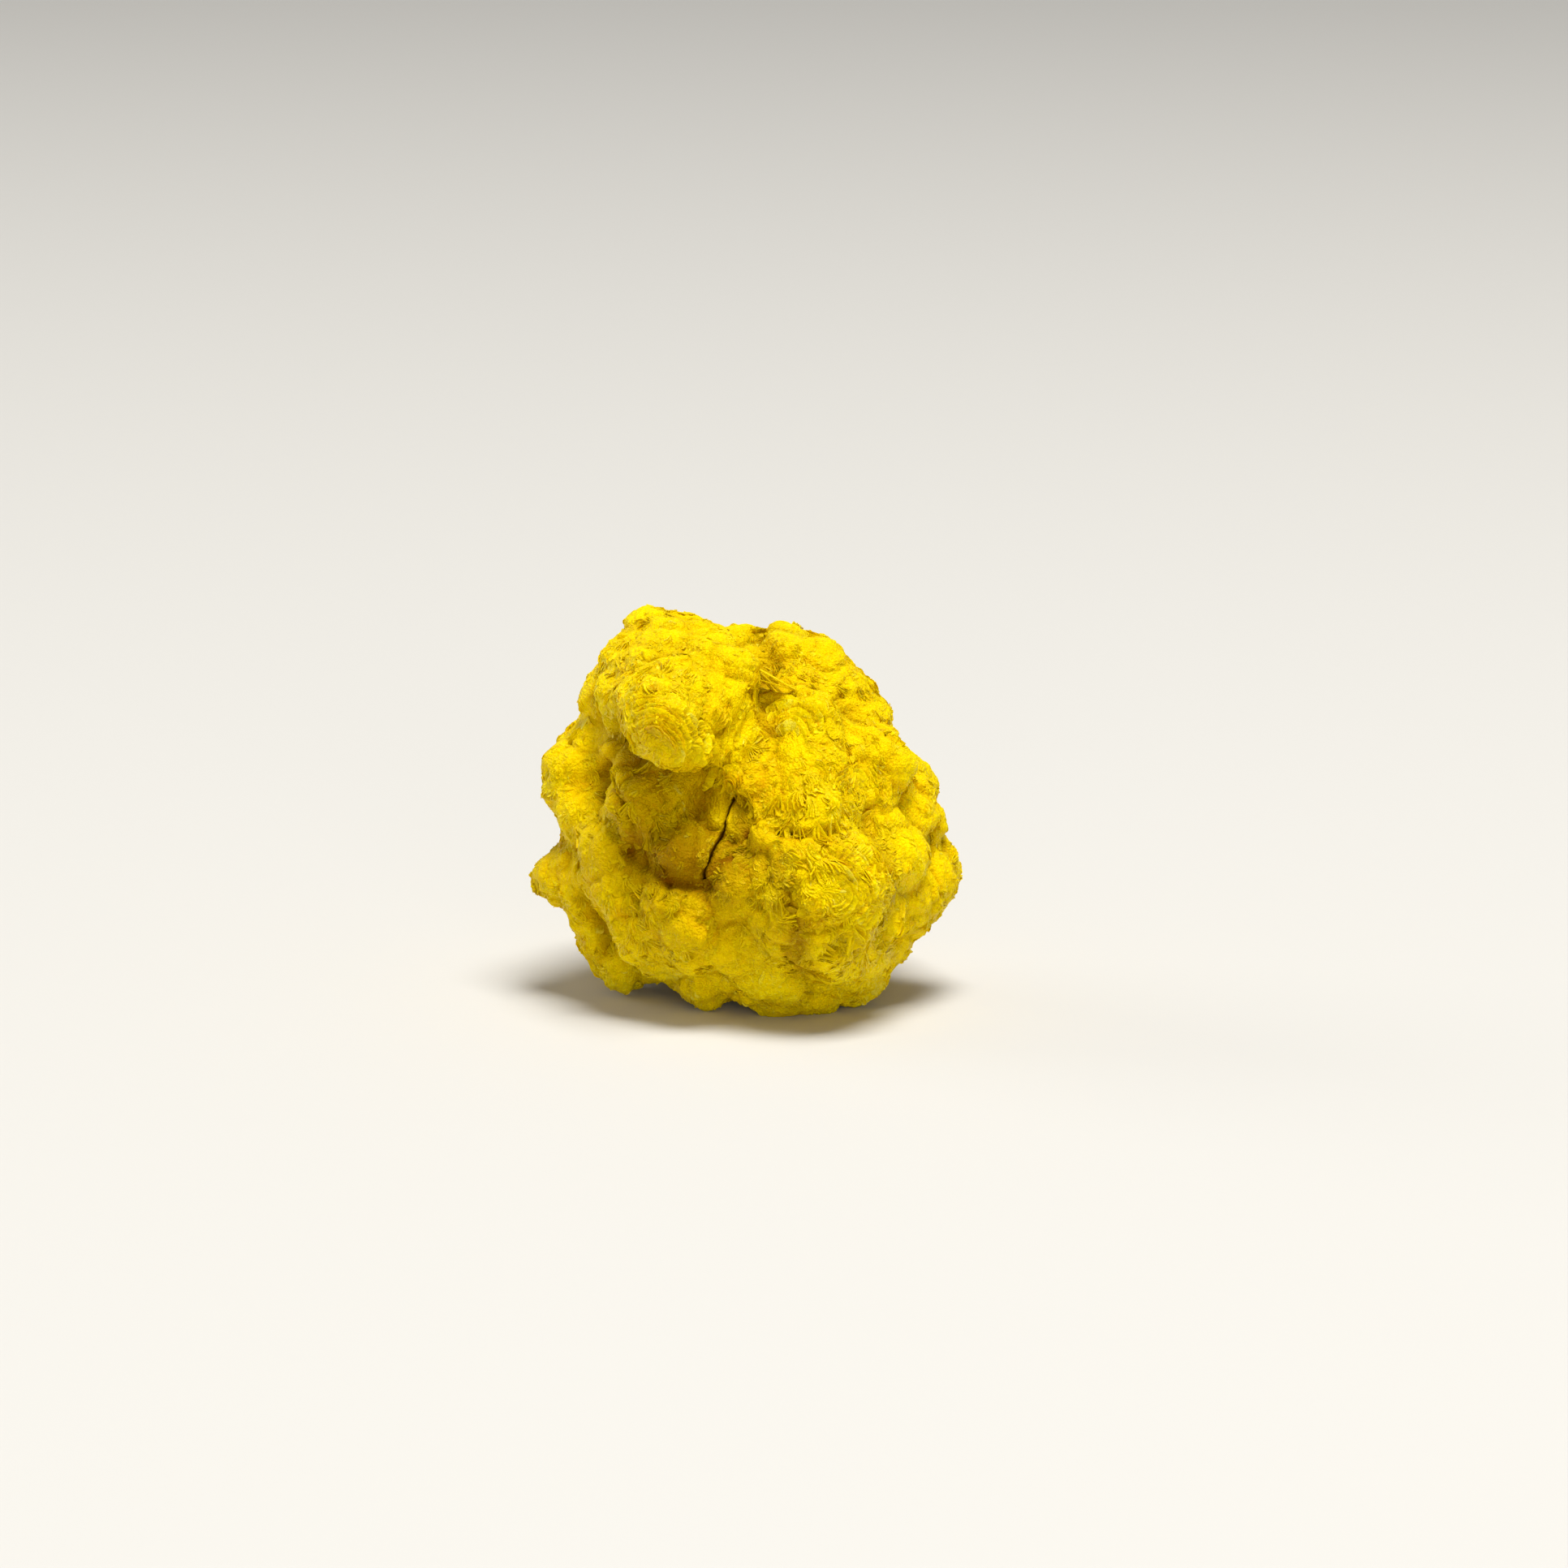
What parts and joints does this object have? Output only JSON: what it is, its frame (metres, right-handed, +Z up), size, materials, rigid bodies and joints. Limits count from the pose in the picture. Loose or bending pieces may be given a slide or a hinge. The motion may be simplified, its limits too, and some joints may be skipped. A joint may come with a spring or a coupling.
{
  "type": "vanuralite crystal cluster",
  "caption": "Globular cluster of thin intergrown mineral plates in rounded lobes, a loose specimen that stands on its lowest lobes.",
  "frame": {"origin": "middle of the footprint, on the surface the cluster rests on", "axes": "+Z up, -Y towards the front, +X to the right seen from the front"},
  "size_m": [0.0082, 0.0072, 0.0076],
  "materials": {
    "vanuralite": "pearly to waxy on the plate faces, dull between them"
  },
  "bodies": {
    "root": {"vanuralite_cluster": "vanuralite"}
  },
  "joints": []
}
